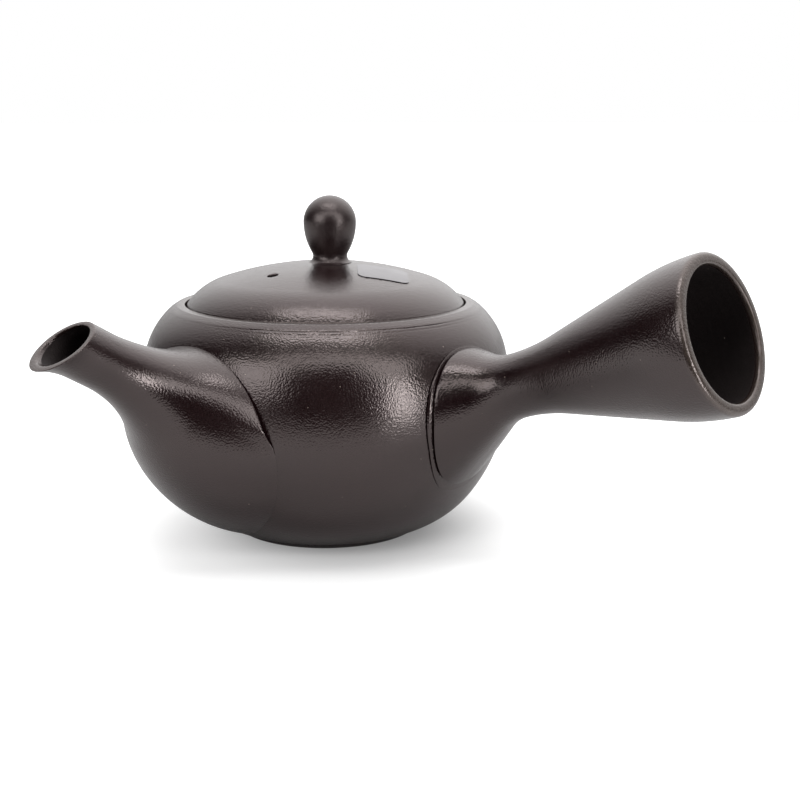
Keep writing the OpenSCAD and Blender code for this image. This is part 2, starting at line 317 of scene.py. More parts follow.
KNOB_Z = CROWN_Z + KNOB_LIFT
PEAR_CENTRE = Vector((KNOB_R - KNOB_PEAR_ARC, KNOB_Z))
PEAR_REACH = KNOB_PEAR_ARC + KNOB_FILLET
PEAR_ANGLE = asin((KNOB_Z - CROWN_Z + KNOB_SINK - KNOB_FILLET) / PEAR_REACH)
KNOB_ARCS = [
    Arc(
        PEAR_CENTRE + PEAR_REACH * heading(-PEAR_ANGLE), -KNOB_FILLET,
        acos(KNOB_EDGE / KNOB_FILLET), -PEAR_ANGLE,
    ),
    Arc(PEAR_CENTRE, KNOB_PEAR_ARC, -PEAR_ANGLE, 0),
    Arc(Vector((0, KNOB_Z)), KNOB_R, 0, pi / 2),
]

# Arms are drawn with the radius as x and the station along their axis as y
SPOUT_WALL_AT = BODY_R / cos(SPOUT_TILT)
SPOUT_REACH = SPOUT_WALL_AT + SPOUT_LEN
BELL_AT = SPOUT_WALL_AT - BELL_DEPTH
BELL_ANGLE = acos(1 - (BELL_R - TUBE_R) / (BELL_ARC + THROAT_ARC))
TUBE_START = BELL_AT + (BELL_ARC + THROAT_ARC) * sin(BELL_ANGLE)
ROOT_SEARCH = BELL_AT - 0.3 * BELL_ARC
FLARE_START = SPOUT_REACH - FLARE_LEN
SPOUT_ARCS = [
    Arc(Vector((BELL_R - BELL_ARC, BELL_AT)), BELL_ARC, -asin(BELL_R / BELL_ARC), BELL_ANGLE),
    Arc(Vector((TUBE_R + THROAT_ARC, TUBE_START)), -THROAT_ARC, BELL_ANGLE, 0),
    Arc(Vector((TUBE_R + FLARE_ARC, FLARE_START)), -FLARE_ARC, 0, -asin((FLARE_LEN + TUBE_R) / FLARE_ARC)),
]
SPOUT_AXIS = (
    Matrix.Translation((0, 0, SPOUT_Z))
    @ Matrix.Rotation(SPOUT_TURN, 4, "Z")
    @ Matrix.Rotation(pi / 2 - SPOUT_TILT, 4, "Y")
)

HANDLE_WALL_AT = BODY_R / cos(HANDLE_TILT)
NECK_AT = HANDLE_WALL_AT + NECK_OUT
COLLAR_SEARCH = HANDLE_WALL_AT - 20 * MM
MOUTH_LIP_R = HANDLE_WALL / 2
TRUMPET_END = HANDLE_WALL_AT + HANDLE_LEN - MOUTH_LIP_R
TRUMPET_LEN = TRUMPET_END - NECK_AT
TRUMPET_SUM = TRUMPET_ARC + MOUTH_ARC
TRUMPET_DROP = TRUMPET_SUM - MOUTH_R + NECK_R
TRUMPET_ANGLE = atan2(TRUMPET_LEN, TRUMPET_DROP) - acos(TRUMPET_SUM / hypot(TRUMPET_LEN, TRUMPET_DROP))
HANDLE_ARCS = [
    Arc(Vector((NECK_R + ROOT_ARC, NECK_AT)), -ROOT_ARC, ROOT_ANGLE, 0),
    Arc(Vector((NECK_R + TRUMPET_ARC, NECK_AT)), -TRUMPET_ARC, 0, -TRUMPET_ANGLE),
    Arc(Vector((MOUTH_R - MOUTH_ARC, TRUMPET_END)), MOUTH_ARC, -TRUMPET_ANGLE, 0),
]
HANDLE_AXIS = Matrix.Translation((0, 0, HANDLE_Z)) @ Matrix.Rotation(pi / 2 - HANDLE_TILT, 4, "Y")


# Drawing a half section and turning it

def arc_point(arc, angle, inset=0):
    return arc.centre + (arc.radius - inset) * heading(angle)


def start_line(bm, point):
    return bm.verts.new((point[0], 0, point[1]))


def draw_line(bm, end, *points):
    """Carries a section's open end straight through some points, and returns the new end."""
    for x, z in points:
        end = bmesh.ops.extrude_vert_indiv(bm, verts=[end])["verts"][0]
        end.co = (x, 0, z)
    return end


def draw_arcs(bm, end, arcs):
    """Carries a section's open end along arcs that start where it stands, and returns the new end."""
    for arc in arcs:
        steps = ceil(abs(arc.last - arc.first) / ARC_STEP)
        made = bmesh.ops.spin(
            bm, geom=[end], cent=(arc.centre.x, 0, arc.centre.y), axis=(0, -1, 0),
            angle=arc.last - arc.first, steps=steps,
        )
        end = next(v for v in made["geom_last"] if isinstance(v, bmesh.types.BMVert))
    return end


def inner_arcs(arcs, inset, keep):
    """The inner face of a wall, drawn backwards: arcs moved in, cut to the angles that keep gives."""
    moved = []
    for arc in arcs:
        low, high = keep(arc.centre, arc.radius - inset)
        first, last = max(arc.first, low), min(arc.last, high)
        if first < last:
            moved.insert(0, Arc(arc.centre, arc.radius - inset, last, first))
    return moved


def turn(bm, columns):
    """Turns the section about the Z axis into a closed skin."""
    bmesh.ops.spin(
        bm, geom=bm.verts[:] + bm.edges[:], cent=(0, 0, 0), axis=(0, 0, 1),
        angle=2 * pi, steps=columns, use_merge=True,
    )
    bmesh.ops.remove_doubles(bm, verts=bm.verts[:], dist=SAME)
    bmesh.ops.recalc_face_normals(bm, faces=bm.faces[:])


def soften(bm, edges, width, segments=3):
    bmesh.ops.bevel(
        bm, geom=edges, offset=width, offset_type="OFFSET", segments=segments,
        profile=0.5, affect="EDGES", material=-1,
    )


def ring_at(bm, radius, height):
    """The turned edges at one corner of a section."""
    def on_ring(v):
        return abs(hypot(v.co.x, v.co.y) - radius) < NEAR and abs(v.co.z - height) < NEAR
    return [e for e in bm.edges if on_ring(e.verts[0]) and on_ring(e.verts[1])]


def pierce(bm, start, direction, radius, columns, margin, depth):
    """Bores a round hole through both faces of a wall, from start along direction."""
    tree = BVHTree.FromBMesh(bm)

    def in_way(face):
        away = face.calc_center_median() - start
        along = away.dot(direction)
        return 0 < along < depth and (away - along * direction).length < radius + margin

    in_front = [f for f in bm.faces if in_way(f)]
    behind = [f for f in in_front if f.normal.dot(direction) > 0]
    in_front = [f for f in in_front if f.normal.dot(direction) <= 0]
    bmesh.ops.delete(bm, geom=in_front, context="FACES")
    front_edges = [e for e in bm.edges if e.is_boundary]
    bmesh.ops.delete(bm, geom=behind, context="FACES")
    back_edges = [e for e in bm.edges if e.is_boundary and e not in set(front_edges)]
    facing = direction.to_track_quat("Z", "Y").to_matrix().to_4x4()
    ring = bmesh.ops.create_circle(
        bm, segments=columns, radius=radius, matrix=Matrix.Translation(start) @ facing
    )["verts"]
    ring_edges = list({e for v in ring for e in v.link_edges})
    for v in ring:
        v.co = tree.ray_cast(v.co, direction)[0]
    wall = bmesh.ops.extrude_edge_only(bm, edges=ring_edges)["geom"]
    for v in wall:
        if isinstance(v, bmesh.types.BMVert):
            v.co = tree.ray_cast(v.co + NEAR * direction, direction)[0]
    wall_edges = [e for e in wall if isinstance(e, bmesh.types.BMEdge) and e.is_boundary]
    bmesh.ops.bridge_loops(bm, edges=front_edges + ring_edges)
    bmesh.ops.bridge_loops(bm, edges=back_edges + wall_edges)
    bmesh.ops.recalc_face_normals(bm, faces=bm.faces[:])
    return ring_edges


# Shaping an arm that grows out of the bowl

def above_bowl(point):
    """Distance of a point from the bowl's outer face, negative inside it."""
    for arc in BOWL_ARCS:
        away = Vector((hypot(point.x, point.y), point.z)) - arc.centre
        if atan2(away.y, away.x) <= arc.last:
            break
    return away.length - arc.radius


def radius_at(arcs, station, inset=0):
    """Radius of an arm's outline at a station, straight between its arcs and before the first one."""
    before = None
    for arc in arcs:
        start, end = arc_point(arc, arc.first, inset), arc_point(arc, arc.last, inset)
        if station < start.y:
            slope = -tan(arc.first) if before is None else (start.x - before.x) / (start.y - before.y)
            return start.x + (station - start.y) * slope
        if station <= end.y:
            rise = sqrt((arc.radius - inset) ** 2 - (station - arc.centre.y) ** 2)
            return arc.centre.x + copysign(rise, arc.radius)
        before = end
    return before.x


def station_on_bowl(place, height, low, high):
    """The station at which an arm's line, place(station), stands that high above the bowl."""
    for _ in range(HALVINGS):
        middle = (low + high) / 2
        if above_bowl(place(middle)) < height:
            low = middle
        else:
            high = middle
    return middle


def shaped_tube(rows, columns, place):
    """A ring-shaped skin whose rows go where place(row, angle) says, the last row joined to the first."""
    bm = bmesh.new()
    row_of = bm.verts.layers.int.new("row")
    end = start_line(bm, (1, 0))
    draw_line(bm, end, *[(1, row) for row in range(1, rows)])
    turn(bm, columns)
    for v in bm.verts:
        v[row_of] = round(v.co.z)
    first_edges, last_edges = row_edges(bm, 0), row_edges(bm, rows - 1)
    bmesh.ops.bridge_loops(bm, edges=first_edges + last_edges)
    for v in bm.verts:
        v.co = place(v[row_of], atan2(v.co.y, v.co.x))
    bm.normal_update()
    bmesh.ops.recalc_face_normals(bm, faces=bm.faces[:])
    return bm


def row_edges(bm, row):
    row_of = bm.verts.layers.int["row"]
    return [e for e in bm.edges if e.verts[0][row_of] == row and e.verts[1][row_of] == row]


def smooth_step(value, low, high):
    t = min(1, max(0, (value - low) / (high - low)))
    return t * t * (3 - 2 * t)


# Materials, with the scales of their noise per metre

CLOUD_SCALE = 45
PIT_SCALE = 800
GRIT_SCALE = 2300
PITS_IN_HEIGHT = 0.2
PITS_IN_POLISH = 0.4
SPECK_SCALE = 520
SPECK_SIZE = 0.085
SPECK_ABOVE = 0.92
SPECK_COLOUR = (0.16, 0.13, 0.11, 1)
WEAR_SCALE = 700
FILM_CLOUD_SCALE = 160
FILM_RIPPLE_SCALE = 260
FILM_RIPPLE = 0.02 * MM


def new_group(name, inputs, outputs):
    """A shader node group with its sockets, and the two nodes that hold its inputs and outputs."""
    tree = bpy.data.node_groups.new(name, "ShaderNodeTree")
    for socket, kind in inputs:
        tree.interface.new_socket(socket, in_out="INPUT", socket_type=kind)
    for socket, kind in outputs:
        tree.interface.new_socket(socket, in_out="OUTPUT", socket_type=kind)
    return tree, tree.nodes.new("NodeGroupInput"), tree.nodes.new("NodeGroupOutput")


def add_node(tree, kind, links=None, **settings):
    """A node with its settings, whose inputs are set to values or linked to other nodes' outputs."""
    node = tree.nodes.new("ShaderNode" + kind)
    for setting, value in settings.items():
        setattr(node, setting, value)
    for socket, value in (links or {}).items():
        if isinstance(value, bpy.types.NodeSocket):
            tree.links.new(value, node.inputs[socket])
        else:
            node.inputs[socket].default_value = value
    return node


def noise(tree, vector, scale, detail=2, roughness=0.5):
    links = {"Vector": vector, "Scale": scale, "Detail": detail, "Roughness": roughness}
    return add_node(tree, "TexNoise", links).outputs["Fac"]


def remap(tree, value, from_min, from_max, to_min, to_max, **settings):
    links = {"Value": value, "From Min": from_min, "From Max": from_max, "To Min": to_min, "To Max": to_max}
    return add_node(tree, "MapRange", links, **settings).outputs["Result"]


def math_node(tree, operation, *values):
    return add_node(tree, "Math", dict(enumerate(values)), operation=operation).outputs[0]


def mix_colour(tree, factor, a, b):
    node = add_node(tree, "Mix", {0: factor}, data_type="RGBA")
    for socket, value in ((node.inputs[6], a), (node.inputs[7], b)):
        if isinstance(value, bpy.types.NodeSocket):
            tree.links.new(value, socket)
        else:
            socket.default_value = value
    return node.outputs[2]


def clay_grain_group():
    """Fired grain: a tone that clouds the colour, pale specks, an uneven polish and the grain's height."""
    inputs = [("Vector", "NodeSocketVector")]
    inputs += [(name, "NodeSocketFloat") for name in ("Polish Low", "Polish High")]
    outputs = [(name, "NodeSocketFloat") for name in ("Tone", "Specks", "Roughness", "Height")]
    tree, ends, out = new_group("clay_grain", inputs, outputs)
    vector = ends.outputs["Vector"]
    clouds = noise(tree, vector, CLOUD_SCALE, 4)
    grit = noise(tree, vector, GRIT_SCALE, 0)
    pits = noise(tree, vector, PIT_SCALE, 2)
    cells = add_node(tree, "TexVoronoi", {"Vector": vector, "Scale": SPECK_SCALE})
    close = math_node(tree, "LESS_THAN", cells.outputs["Distance"], SPECK_SIZE)
    split = add_node(tree, "SeparateColor", {"Color": cells.outputs["Color"]})
    chosen = math_node(tree, "GREATER_THAN", split.outputs["Red"], SPECK_ABOVE)
    tree.links.new(remap(tree, clouds, 0.3, 0.7, 0, 1), out.inputs["Tone"])
    tree.links.new(math_node(tree, "MULTIPLY", close, chosen), out.inputs["Specks"])
    cloudy = math_node(tree, "MULTIPLY", clouds, 1 - PITS_IN_POLISH)
    uneven = math_node(tree, "MULTIPLY_ADD", pits, PITS_IN_POLISH, cloudy)
    low, high = ends.outputs["Polish Low"], ends.outputs["Polish High"]
    tree.links.new(remap(tree, uneven, 0.35, 0.65, low, high), out.inputs["Roughness"])
    height = math_node(tree, "MULTIPLY_ADD", pits, PITS_IN_HEIGHT, grit)
    tree.links.new(height, out.inputs["Height"])
    return tree


def turning_lines_group():
    """Faint lines left by the wheel, along the piece's own ring attribute."""
    tree, ends, out = new_group(
        "turning_lines", [("Spacing", "NodeSocketFloat")], [("Height", "NodeSocketFloat")]
    )
    ring = add_node(tree, "Attribute", attribute_name="ring")
    place = math_node(tree, "DIVIDE", ring.outputs["Fac"], ends.outputs["Spacing"])
    lines = add_node(tree, "TexNoise", {"W": place, "Scale": 1, "Detail": 3}, noise_dimensions="1D")
    tree.links.new(lines.outputs["Fac"], out.inputs["Height"])
    return tree


def edge_wear_group():
    """Where handling has worn an edge pale, from the piece's wear attribute broken up by noise."""
    tree, ends, out = new_group("edge_wear", [("Vector", "NodeSocketVector")], [("Mask", "NodeSocketFloat")])
    wear = add_node(tree, "Attribute", attribute_name="wear")
    patches = remap(tree, noise(tree, ends.outputs["Vector"], WEAR_SCALE, 4, 0.7), 0.3, 0.65, 0.6, 1)
    tree.links.new(math_node(tree, "MULTIPLY", wear.outputs["Fac"], patches), out.inputs["Mask"])
    return tree


CLAY_GRAIN = clay_grain_group()
TURNING_LINES = turning_lines_group()
EDGE_WEAR = edge_wear_group()


def clay_material(name, colours, polish, sheen_ior, sheen, grain_depth, line_spacing, line_depth):
    """Unglazed clay, with its dark, light and worn colours and its least and most roughness."""
    dark, light, worn = colours
    material = bpy.data.materials.new(name)
    material.use_nodes = True
    tree = material.node_tree
    shader = tree.nodes["Principled BSDF"]
    place = add_node(tree, "TexCoord").outputs["Object"]
    smoothness = {"Polish Low": polish[0], "Polish High": polish[1]}
    grain = add_node(tree, "Group", {"Vector": place, **smoothness}, node_tree=CLAY_GRAIN)
    wear = add_node(tree, "Group", {"Vector": place}, node_tree=EDGE_WEAR)
    lines = add_node(tree, "Group", {"Spacing": line_spacing}, node_tree=TURNING_LINES)
    colour = mix_colour(tree, grain.outputs["Tone"], dark, light)
    colour = mix_colour(tree, wear.outputs["Mask"], colour, worn)
    colour = mix_colour(tree, grain.outputs["Specks"], colour, SPECK_COLOUR)
    tree.links.new(colour, shader.inputs["Base Color"])
    tree.links.new(grain.outputs["Roughness"], shader.inputs["Roughness"])
    shader.inputs["IOR"].default_value = sheen_ior
    shader.inputs["Specular Tint"].default_value = sheen
    line_bump = add_node(
        tree, "Bump", {"Height": lines.outputs["Height"], "Distance": line_depth, "Strength": 1.0}
    )
    grained = {"Height": grain.outputs["Height"], "Distance": grain_depth, "Strength": 1.0}
    grain_bump = add_node(tree, "Bump", {"Normal": line_bump.outputs["Normal"], **grained})
    tree.links.new(grain_bump.outputs["Normal"], shader.inputs["Normal"])
    return material


BURNISH = {
    "colours": [(0.0080, 0.0028, 0.0033, 1), (0.0110, 0.0042, 0.0046, 1), (0.060, 0.047, 0.039, 1)],
    "sheen_ior": 1.8,
    "sheen": (1, 0.87, 0.85, 1),
    "line_spacing": 1.1 * MM,
    "line_depth": 0.010 * MM,
}
BURNISHED = clay_material("burnished_clay", polish=(0.20, 0.26), grain_depth=0.064 * MM, **BURNISH)
# The knob is rubbed smooth by fingers, and its shine is softer
HANDLED = clay_material("handled_clay", polish=(0.33, 0.38), grain_depth=0.03 * MM, **BURNISH)
# Unburnished clay for the insides of the bowl, bore, handle and lid. Its roughness is the raw clay's own, but
# its colour is darkened well below the clay's own to paint the shade inside the hollows
RAW_AND_SHADE = clay_material(
    "raw_clay",
    colours=[(0.0025, 0.0014, 0.0015, 1), (0.0048, 0.0028, 0.0029, 1), (0.030, 0.022, 0.018, 1)],
    polish=(0.60, 0.74), sheen_ior=1.4, sheen=(1, 0.86, 0.84, 1),
    grain_depth=0.06 * MM, line_spacing=1.8 * MM, line_depth=0.05 * MM,
)


def film_material():
    """Thin satin film over the clay, with a faint ripple."""
    material = bpy.data.materials.new("clear_film")
    material.use_nodes = True
    tree = material.node_tree
    shader = tree.nodes["Principled BSDF"]
    place = add_node(tree, "TexCoord").outputs["Object"]
    clouds = noise(tree, place, FILM_CLOUD_SCALE, 3)
    colour = mix_colour(tree, clouds, (0.026, 0.021, 0.026, 1), (0.036, 0.030, 0.035, 1))
    tree.links.new(colour, shader.inputs["Base Color"])
    tree.links.new(remap(tree, clouds, 0.3, 0.7, 0.2, 0.26), shader.inputs["Roughness"])
    shader.inputs["IOR"].default_value = 2.0
    shader.inputs["Specular Tint"].default_value = (1, 0.94, 0.98, 1)
    waves = noise(tree, place, FILM_RIPPLE_SCALE, 1)
    ripple = add_node(tree, "Bump", {"Height": waves, "Distance": FILM_RIPPLE})
    tree.links.new(ripple.outputs["Normal"], shader.inputs["Normal"])
    return material


FILM = film_material()


# Pieces

def finish_piece(bm, name, body, nodes, materials, wear=None, ring=None, inside=None):
    """Makes the skin an object that rides on its body and stands for its nodes."""
    wear_of = bm.verts.layers.float.new("wear")
    ring_of = bm.verts.layers.float.new("ring")
    for v in bm.verts:
        v[wear_of] = wear(v.co) if wear else 0
        v[ring_of] = ring(v.co) if ring else v.co.z
    for face in bm.faces:
        face.smooth = True
        face.material_index = int(bool(inside and inside(face)))
    mesh = bpy.data.meshes.new(name)
    bm.to_mesh(mesh)
    bm.free()
    mesh.set_sharp_from_angle(angle=SHARP_ANGLE)
    for material in materials:
        mesh.materials.append(material)
    piece = bpy.data.objects.new(name, mesh)
    bpy.context.scene.collection.objects.link(piece)
    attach(piece, body)
    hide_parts(*nodes)


def bump_at(distance, width):
    """One at no distance, falling to nothing at width."""
    return max(0, 1 - abs(distance) / width)


def cut_groove(bm, height, width, depth):
    """Cuts a level line into the bowl's outer face, broken here and there and fading out round the pot."""
    for cut in (height - width / 2, height, height + width / 2):
        bmesh.ops.bisect_plane(
            bm, geom=bm.verts[:] + bm.edges[:] + bm.faces[:], dist=SAME,
            plane_co=(0, 0, cut), plane_no=(0, 0, 1),
        )
    for v in bm.verts:
        if abs(v.co.z - height) < NEAR and abs(above_bowl(v.co)) < ON_FACE:
            angle = atan2(v.co.y, v.co.x)
            slow, quick = GROOVE_WAVES
            beat = sin(slow * angle) * sin(quick * angle + height / MM)
            broken = GROOVE_SHARE + GROOVE_SWING * beat
            faded = max(0, cos((angle - GROOVE_DEEPEST_AT) / 2)) ** GROOVE_FADE
            v.co -= depth * broken * faded * v.normal


def make_bowl():
    """The thrown bowl: foot, wall, rim and lid's seat, with turning lines and the port behind the spout."""
    bm = bmesh.new()
    end = start_line(bm, (0, 0))
    end = draw_line(bm, end, (FOOT_R - FOOT_BEVEL, 0), (FOOT_R, FOOT_H))
    end = draw_arcs(bm, end, BOWL_ARCS)

    def floor_to_ceiling(centre, radius):
        return asin(max(-1, (FLOOR_T - centre.y) / radius)), asin(min(1, (CEILING_Z - centre.y) / radius))

    hollow = inner_arcs(BOWL_ARCS, BODY_WALL, floor_to_ceiling)
    end = draw_line(
        bm, end, RIM_FLAT_OUT, RIM_FLAT_IN,
        (GALLERY_R, SEAT_Z), (MOUTH_HOLE_R, SEAT_Z), (MOUTH_HOLE_R, CEILING_Z),
        arc_point(hollow[0], hollow[0].first),
    )
    end = draw_arcs(bm, end, hollow)
    draw_line(bm, end, (0, FLOOR_T))
    turn(bm, BOWL_COLUMNS)
    soften(bm, ring_at(bm, *RIM_FLAT_IN), RIM_SOFT_IN)
    soften(bm, ring_at(bm, *RIM_FLAT_OUT), RIM_SOFT_OUT)
    soften(bm, ring_at(bm, RIM_R, RIM_Z), SHOULDER_SOFT)
    soften(bm, ring_at(bm, MOUTH_HOLE_R, SEAT_Z) + ring_at(bm, MOUTH_HOLE_R, CEILING_Z), MOUTH_SOFT)
    soften(bm, ring_at(bm, FOOT_R - FOOT_BEVEL, 0), FOOT_SOFT)
    soften(bm, ring_at(bm, FOOT_R, FOOT_H), FOOT_SOFT)
    for height, width, depth in TURNING_GROOVES:
        cut_groove(bm, height, width, depth)
    outwards = Vector((cos(SPOUT_TURN), sin(SPOUT_TURN), 0))
    start = Vector((0, 0, PORT_Z)) + PORT_START * outwards
    pierce(bm, start, -outwards, PORT_R, PORT_COLUMNS, PORT_MARGIN, PORT_DEPTH)

    def inside(face):
        c = face.calc_center_median()
        return FLOOR_T / 2 < c.z < SEAT_Z - INSIDE_BY and above_bowl(c) < -BODY_WALL / 2

    def wear(c):
        on_rim = c.z > RIM_TOP - RIM_RISE / 2
        return on_rim * bump_at(hypot(c.x, c.y) - GALLERY_R, RIM_FLAT_W)

    finish_piece(
        bm, "pot_body_skin", "pot", ["pot_body"], [BURNISHED, RAW_AND_SHADE], wear, None, inside
    )


def make_spout():
    """The bell-rooted spout: outer face from the bowl's wall to the lip, then the bore back to the wall."""
    lip_row = SPOUT_EDGE_ROWS + SPOUT_ROWS
    rows = lip_row + 1 + SPOUT_ROWS
    columns = {}

    def at(station, angle, inset):
        upper, lower, aside = max(0, -cos(angle)), max(0, cos(angle)), abs(sin(angle))
        halfway = (PRESS_FROM + PRESS_TO) / 2
        rooted = 1 - smooth_step(station, PRESS_FROM, PRESS_TO)
        dipped = smooth_step(station, PRESS_FROM, halfway) * (1 - smooth_step(station, halfway, PRESS_TO))
        pressed = (BELL_PRESS * rooted + BELL_DIP * dipped) * upper ** 2
        spread = (BELL_SPREAD * aside ** SPREAD_POWER - BELL_LIFT * lower ** 2) * rooted
        spread += OPEN_SPREAD * opened(angle) * rooted ** 2
        radius = radius_at(SPOUT_ARCS, station, inset) + spread - pressed
        return SPOUT_AXIS @ Vector((radius * cos(angle), radius * sin(angle), station))

    def lip_station(angle, inset):
        station = SPOUT_REACH
        for _ in range(LIP_ROUNDS):
            across = radius_at(SPOUT_ARCS, station, inset) * cos(angle)
            station = SPOUT_REACH + LIP_OUT + across * tan(LIP_LEAN)
        return station

    def opened(angle):
        """How far the edge stands open: it ends quickly below and slowly above."""
        closing = min(1, max(0, (OPEN_TO - angle) / (OPEN_TO - OPEN_MOST)))
        return smooth_step(angle, OPEN_FROM, OPEN_MOST) * closing ** OPEN_FADE

    def column(angle):
        key = round(angle, 5)
        if key not in columns:
            proud = EDGE_PROUD + OPEN_PROUD * opened(angle)
            undercut = EDGE_UNDERCUT + OPEN_UNDERCUT * opened(angle)

            def on_bowl(inset, height):
                return station_on_bowl(lambda s: at(s, angle, inset), height, ROOT_SEARCH, TUBE_START)

            columns[key] = {
                "undercut": undercut,
                "sunk": on_bowl(undercut, -EDGE_SUNK),
                "under": on_bowl(undercut, EDGE_UNDER_SHARE * proud),
                "edge": on_bowl(0, proud),
                "face": on_bowl(0, proud) + EDGE_ROLL + EDGE_ROLL_SHARE * proud,
                "bore": on_bowl(SPOUT_WALL + OPEN_UNDERCUT, -EDGE_SUNK),
                "lip": lip_station(angle, 0),
                "bore_lip": lip_station(angle, LIP_WALL),
            }
        return columns[key]

    def place(row, angle):
        c = column(angle)
        if row == 0:
            return at(c["sunk"], angle, c["undercut"])
        if row < SPOUT_EDGE_ROWS:
            under = at(c["under"], angle, c["undercut"])
            edge = at(c["edge"], angle, 0)
            face = at(c["face"], angle, 0)
            t = (row - 1) / (SPOUT_EDGE_ROWS - 1)
            return (1 - t) ** 2 * under + 2 * t * (1 - t) * edge + t ** 2 * face
        if row <= lip_row:
            t = (row - SPOUT_EDGE_ROWS) / SPOUT_ROWS
            return at(c["face"] + (c["lip"] - c["face"]) * t, angle, 0)
        t = (row - lip_row - 1) / (SPOUT_ROWS - 1)
        thick = LIP_WALL + (SPOUT_WALL - LIP_WALL) * smooth_step(t, 0, LIP_THICKENS_TO)
        thick += OPEN_UNDERCUT * smooth_step(t, BORE_NARROWS_FROM, BORE_NARROWS_TO)
        return at(c["bore_lip"] + (c["bore"] - c["bore_lip"]) * t, angle, thick)

    bm = shaped_tube(rows, ARM_COLUMNS, place)
    row_of = bm.verts.layers.int["row"]
    soften(bm, row_edges(bm, lip_row) + row_edges(bm, lip_row + 1), LIP_SOFT)
    to_axis = SPOUT_AXIS.inverted()

    def lip_distance(c):
        local = to_axis @ c
        return SPOUT_REACH + LIP_OUT + local.x * tan(LIP_LEAN) - local.z

    finish_piece(
        bm, "spout_skin", "pot", ["spout"], [BURNISHED, RAW_AND_SHADE],
        lambda c: LIP_WEAR * bump_at(lip_distance(c), LIP_WEAR_W), lambda c: (to_axis @ c).z,
        lambda face: min(v[row_of] for v in face.verts) > lip_row + 2,
    )


def handle_at(station, angle, inset):
    """A point of the handle, inset from its outer face; the angle is nought below the handle."""
    rooted = 1 - smooth_step(station, ROOT_FROM, ROOT_TO)
    spread = ROOT_SPREAD * abs(sin(angle)) ** ROOT_POWER - ROOT_PRESS * max(0, -cos(angle)) ** 2
    spread += ROOT_LEAN * max(0, cos(angle - ROOT_LEAN_AT)) ** ROOT_LEAN_POWER
    from_below = acos(max(-1, min(1, cos(angle))))
    spread += ROOT_ROUND * max(0, cos(from_below - ROOT_ROUND_AT)) ** ROOT_ROUND_POWER
    flare = ROOT_FLARE * max(0, cos(angle)) ** 2 * rooted
    radius = radius_at(HANDLE_ARCS, station, inset) + (spread + flare) * rooted
    return HANDLE_AXIS @ Vector((radius * cos(angle), radius * sin(angle), station))


def collar_height(angle):
    """The collar is tall at the handle's two sides and thin above and below."""
    return COLLAR_H_THIN + (COLLAR_H - COLLAR_H_THIN) * abs(sin(angle)) ** COLLAR_POWER


def pinched(angle):
    """How far the groove was pinched narrow and deep, low on the side that faces the spout."""
    return max(0, cos(angle - PINCH_AT)) ** PINCH_POWER


def groove_depth(angle):
    """The grooves are deepest on top, and were smoothed nearly shut below the handle."""
    top, below = max(0, -cos(angle)), max(0, cos(angle)) ** GROOVE_BELOW_POWER
    return GROOVE_D * (1 + GROOVE_TOP * top - GROOVE_BELOW * below + PINCH_DEEPER * pinched(angle))


def handle_station(angle, inset, height):
    """The station at which the handle's line stands that high above the bowl."""
    return station_on_bowl(lambda s: handle_at(s, angle, inset), height, COLLAR_SEARCH, NECK_AT)


def make_handle():
    """The hollow trumpet: a groove at its root, the outer face, a rounded lip and the bore."""
    outer_row = 2
    lip_row = outer_row + HANDLE_ROWS
    bore_row = lip_row + MOUTH_LIP_ROWS
    rows = bore_row + HANDLE_ROWS
    columns = {}

    def column(angle):
        key = round(angle, 5)
        if key not in columns:
            height, depth = collar_height(angle), groove_depth(angle)
            width = GROOVE_W * (1 - PINCH_NARROWER * pinched(angle))
            columns[key] = {
                "foot": handle_station(angle, depth, height - SUNK),
                "groove": handle_station(angle, depth, height + width),
                "edge": handle_station(angle, 0, height + width),
                "bore": handle_station(angle, HANDLE_WALL, height - SUNK),
            }
        return columns[key]

    def place(row, angle):
        c = column(angle)
        if row == 0:
            return handle_at(c["foot"], angle, groove_depth(angle))
        if row == 1:
            return handle_at(c["groove"], angle, groove_depth(angle))
        if row <= lip_row:
            t = (row - outer_row) / HANDLE_ROWS
            return handle_at(c["edge"] + (TRUMPET_END - c["edge"]) * t, angle, 0)
        if row < bore_row:
            out, ahead = heading(pi * (row - lip_row) / MOUTH_LIP_ROWS)
            square = MOUTH_LIP_ROUND if out > 0 else MOUTH_LIP_CRISP
            radius = MOUTH_R - MOUTH_LIP_R + MOUTH_LIP_R * copysign(abs(out) ** square, out)
            station = TRUMPET_END + MOUTH_LIP_R * ahead ** square
            return HANDLE_AXIS @ Vector((radius * cos(angle), radius * sin(angle), station))
        t = (row - bore_row) / (HANDLE_ROWS - 1)
        return handle_at(TRUMPET_END + (c["bore"] - TRUMPET_END) * t, angle, HANDLE_WALL)

    bm = shaped_tube(rows, ARM_COLUMNS, place)
    row_of = bm.verts.layers.int["row"]
    soften(bm, row_edges(bm, outer_row), GROOVE_SOFT, segments=2)
    to_axis = HANDLE_AXIS.inverted()

    def wear(c):
        past_trumpet = (to_axis @ c).z - TRUMPET_END
        return MOUTH_WEAR * smooth_step(past_trumpet, MOUTH_WEAR_FROM, MOUTH_WEAR_TO)

    finish_piece(
        bm, "handle_skin", "pot", ["handle"], [BURNISHED, RAW_AND_SHADE],
        wear, lambda c: (to_axis @ c).z, lambda face: min(v[row_of] for v in face.verts) >= bore_row,
    )


def make_handle_collar():
    """The narrow ring between the two grooves at the handle's root."""
    def place(row, angle):
        top, depth = collar_height(angle), groove_depth(angle)
        groove = min(COLLAR_GROOVE_W, COLLAR_GROOVE_MOST * top)
        inset = (depth, depth, 0, 0, HANDLE_WALL, HANDLE_WALL)[row]
        height = (-SUNK, groove, groove, top, top, -SUNK)[row]
        return handle_at(handle_station(angle, inset, height), angle, inset)

    bm = shaped_tube(COLLAR_ROWS, ARM_COLUMNS, place)
    soften(bm, row_edges(bm, COLLAR_TOP_ROW), COLLAR_SOFT, segments=2)
    finish_piece(bm, "handle_collar_skin", "pot", ["handle_collar"], [BURNISHED])


